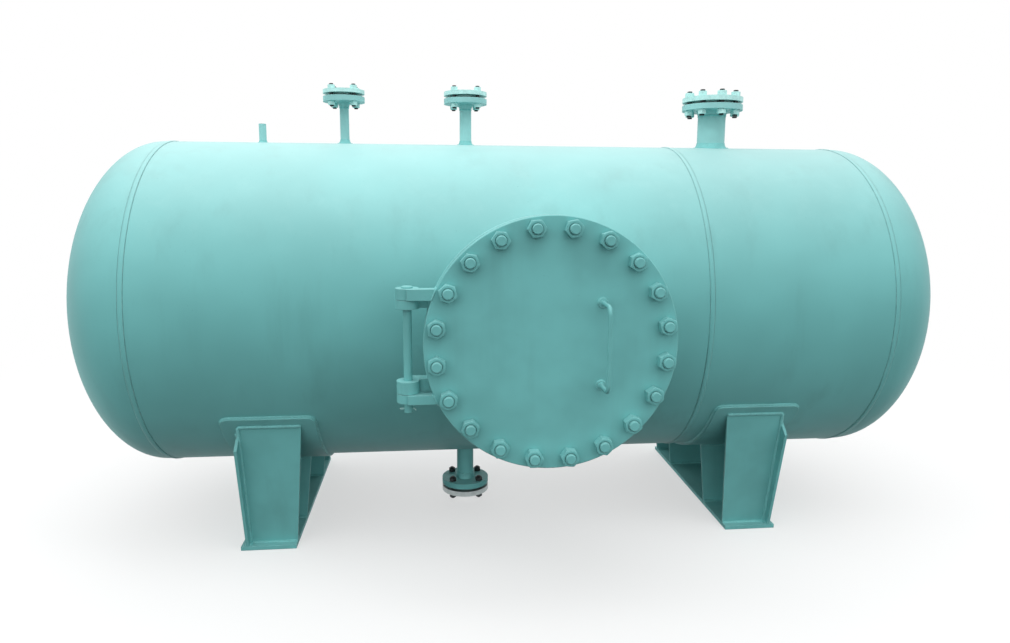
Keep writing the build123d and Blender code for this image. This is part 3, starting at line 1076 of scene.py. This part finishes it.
class VESSEL_OT_weld_manway_fittings(bpy.types.Operator):
    """Lay the small welds of the hinge lugs and of the cover's handle."""

    bl_idname = "vessel.weld_manway_fittings"
    bl_label = "Weld the lugs and the handle"

    def execute(self, context):
        settings = context.scene.vessel_welds
        paint = bpy.data.materials["Weld paint"]
        leg = settings.small_leg
        edge, raised, flange_depth = 0.001, 0.004, 0.048
        flange_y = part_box("manway_flange")[0].y
        door_beads = []
        frame_beads = []
        for lug in ("cover_lug_upper", "cover_lug_lower", "fixed_lug_upper", "fixed_lug_lower"):
            low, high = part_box(lug)
            if lug.startswith("cover"):
                beads = door_beads
                near_y, far_y = cover_front_y + edge, cover_back_y - raised - edge
            else:
                beads = frame_beads
                near_y, far_y = flange_y + raised + edge, flange_y + flange_depth - edge
            corners = []
            for level in (low.z, high.z):
                seam_x = manway_x - sqrt(manway_rim_r**2 - (level - axis_z) ** 2)
                corners.append((seam_x, near_y, level))
                seam = straight_seam(corners[-1], (seam_x, far_y, level), settings.spacing)
                beads.append(tube_along(seam, leg, True))
            beads.append(tube_along(straight_seam(*corners, settings.spacing), 0.8 * leg, True))
        low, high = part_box("cover_handle")
        pad_r = (high.x - low.x) / 2
        pad_thick, rod_r, bead_r = 0.005, 0.006, 0.003
        handle_x = (low.x + high.x) / 2
        for foot_z in (low.z + pad_r, high.z - pad_r):
            for rise, radius in ((0.0, pad_r), (pad_thick, rod_r)):
                place = (handle_x, cover_front_y - rise, foot_z)
                door_beads.append(tube_along(ring_seam(place, radius, pi / 2, bead_r), bead_r, True))
        finish_piece(join("cover_fitting_welds", door_beads), "manway_door", paint)
        finish_piece(join("flange_lug_welds", frame_beads), "vessel", paint)
        return {"FINISHED"}


class VESSEL_OT_keep_hinge_pin(bpy.types.Operator):
    """Add the washer and the split pin that keep the hinge pin in its lugs."""

    bl_idname = "vessel.keep_hinge_pin"
    bl_label = "Keep the hinge pin"

    def execute(self, context):
        plated = bpy.data.materials["Plated steel"]
        low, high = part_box("hinge_pin")
        centre = (low + high) / 2
        under_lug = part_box("cover_lug_lower")[0].z
        inner_r, outer_r, thick, edge = 0.0126, 0.0185, 0.0035, 0.0005
        play, wire_r, wire_drop = 0.0003, 0.0016, 0.0160
        ring = [
            (inner_r, 0.0),
            (outer_r - edge, 0.0),
            (outer_r, edge),
            (outer_r, thick - edge),
            (outer_r - edge, thick),
            (inner_r, thick),
            (inner_r, 0.0),
        ]
        washer = lathe("hinge_washer", ring, steps=40)
        washer.data.transform(Matrix.Translation((centre.x, centre.y, under_lug - thick - play)))
        finish_piece(washer, "vessel", plated)
        level = under_lug - thick - wire_drop
        # Course of the wire: one spread leg, through the pin, round the eye and back to the other leg
        split = [
            (0.021, -0.0045, level - 0.005),
            (0.016, -0.0016, level),
            (-0.014, -0.0016, level),
            (-0.018, -0.0040, level),
            (-0.022, -0.0030, level),
            (-0.0235, 0.0, level),
            (-0.022, 0.0030, level),
            (-0.018, 0.0040, level),
            (-0.014, 0.0016, level),
            (0.016, 0.0016, level),
            (0.020, 0.0050, level - 0.004),
        ]
        points = [(centre.x + x, centre.y + y, z) for x, y, z in split]
        pin = tube_along(draw_line("split_pin", points), wire_r, False)
        pin.name = "hinge_split_pin"
        finish_piece(pin, "vessel", plated)
        return {"FINISHED"}


class VESSEL_OT_set_stage(bpy.types.Operator):
    """Set the pale floor, the soft studio light and the camera."""

    bl_idname = "vessel.set_stage"
    bl_label = "Set the stage"

    def execute(self, context):
        settings = context.scene.vessel_stage
        self.lay_floor(settings)
        self.light_room(settings)
        self.place_camera(settings)
        context.scene.view_settings.view_transform = "Standard"
        return {"FINISHED"}

    def lay_floor(self, settings):
        deselect_all()
        middle_x, floor_z = 0.9, -0.0005
        bpy.ops.mesh.primitive_plane_add(size=settings.floor_width, location=(middle_x, 0.0, floor_z))
        floor = bpy.context.object
        floor.name = "studio_floor"
        material, pale = new_material("Floor")
        shown = pale.shown()
        place = pale.node("ShaderNodeTexCoord").outputs["Object"]
        length = pale.node("ShaderNodeVectorMath", {"operation": "LENGTH"}, {0: place})
        far = Value(pale, length.outputs["Value"]).between(settings.shadow_near, settings.shadow_far)
        fade = settings.floor_glow + (1.0 - settings.floor_glow) * far
        colour = pale.blend(shown, (settings.bounce,) * 3 + (1.0,), (0.90, 0.90, 0.90, 1.0))
        plain = pale.node("ShaderNodeBsdfPrincipled", None, {"Base Color": colour, "Roughness": 0.9})
        glow = pale.node("ShaderNodeEmission", None, {"Color": (1, 1, 1, 1), "Strength": 1.0})
        mixed = pale.node(
            "ShaderNodeMixShader", None, {0: shown * fade, 1: plain.outputs[0], 2: glow.outputs[0]}
        )
        pale.node("ShaderNodeOutputMaterial", None, {"Surface": mixed.outputs[0]})
        floor.data.materials.append(material)

    def light_room(self, settings):
        world = bpy.data.worlds.new("Studio")
        bpy.context.scene.world = world
        world.use_nodes = True
        sky = Finish(world.node_tree)
        shown = sky.shown()
        place = sky.node("ShaderNodeTexCoord").outputs["Generated"]
        height = Value(sky, sky.node("ShaderNodeSeparateXYZ", None, {0: place}).outputs["Z"])
        rise = height.between(0.0, 1.0)
        lighting = settings.horizon + (settings.sky - settings.horizon) * rise
        strength = lighting * (1.0 - shown) + shown
        light = sky.node("ShaderNodeBackground", None, {"Color": (1, 1, 1, 1), "Strength": strength})
        sky.node("ShaderNodeOutputWorld", None, {"Surface": light.outputs[0]})
        strip = bpy.data.lights.new("Strip light", "AREA")
        strip.shape = "RECTANGLE"
        strip.size, strip.size_y = 3.6, 0.7
        strip.energy = settings.strip_power
        lamp = bpy.data.objects.new("Strip light", strip)
        bpy.context.scene.collection.objects.link(lamp)
        lamp.location = (0.4, -1.2, 3.5)
        target = Vector((0.95, -0.2, axis_z))
        lamp.rotation_euler = (target - lamp.location).to_track_quat("-Z", "Y").to_euler()

    def place_camera(self, settings):
        """Camera that sees the vessel from where the photograph was taken, with its angles in radians."""
        stand = Vector((0.5850, -2.8467, 1.2391))
        yaw, pitch, roll = 0.1036, 0.1511, 0.0060
        lens = bpy.data.cameras.new("Camera")
        lens.sensor_width = 36.0
        lens.lens = settings.lens
        lens.shift_x, lens.shift_y = -0.0020, -0.0184
        camera = bpy.data.objects.new("Camera", lens)
        bpy.context.scene.collection.objects.link(camera)
        forward = Vector((sin(yaw) * cos(pitch), cos(yaw) * cos(pitch), -sin(pitch)))
        level = Vector((cos(yaw), -sin(yaw), 0.0))
        upright = level.cross(forward)
        right = cos(roll) * level + sin(roll) * upright
        up = cos(roll) * upright - sin(roll) * level
        turn = Matrix((right, up, -forward)).transposed().to_4x4()
        camera.matrix_world = Matrix.Translation(stand) @ turn
        bpy.context.scene.camera = camera


class VESSEL_PT_panel(bpy.types.Panel):
    """Lists the vessel's operators in the order in which they are used."""

    bl_idname = "VESSEL_PT_panel"
    bl_label = "Pressure vessel"
    bl_space_type = "VIEW_3D"
    bl_region_type = "UI"
    bl_category = "Vessel"

    def draw(self, context):
        for operator in operators:
            self.layout.operator(operator.bl_idname)


operators = (
    VESSEL_OT_set_stage,
    VESSEL_OT_paint_nodes,
    VESSEL_OT_bolt_manway,
    VESSEL_OT_bolt_nozzles,
    VESSEL_OT_weld_branches,
    VESSEL_OT_weld_saddles,
    VESSEL_OT_weld_manway_fittings,
    VESSEL_OT_keep_hinge_pin,
)
setting_groups = {
    "vessel_paint": VesselPaintSettings,
    "vessel_bolting": VesselBoltingSettings,
    "vessel_welds": VesselWeldSettings,
    "vessel_stage": VesselStageSettings,
}


def register():
    for name, group in setting_groups.items():
        bpy.utils.register_class(group)
        setattr(bpy.types.Scene, name, PointerProperty(type=group))
    for operator in operators:
        bpy.utils.register_class(operator)
    bpy.utils.register_class(VESSEL_PT_panel)


def unregister():
    bpy.utils.unregister_class(VESSEL_PT_panel)
    for operator in reversed(operators):
        bpy.utils.unregister_class(operator)
    for name, group in reversed(setting_groups.items()):
        delattr(bpy.types.Scene, name)
        bpy.utils.unregister_class(group)


def main():
    register()
    bpy.ops.vessel.set_stage()
    bpy.ops.vessel.paint_nodes()
    bpy.ops.vessel.bolt_manway()
    bpy.ops.vessel.bolt_nozzles()
    bpy.ops.vessel.weld_branches()
    bpy.ops.vessel.weld_saddles()
    bpy.ops.vessel.weld_manway_fittings()
    bpy.ops.vessel.keep_hinge_pin()


if __name__ == "__main__":
    main()
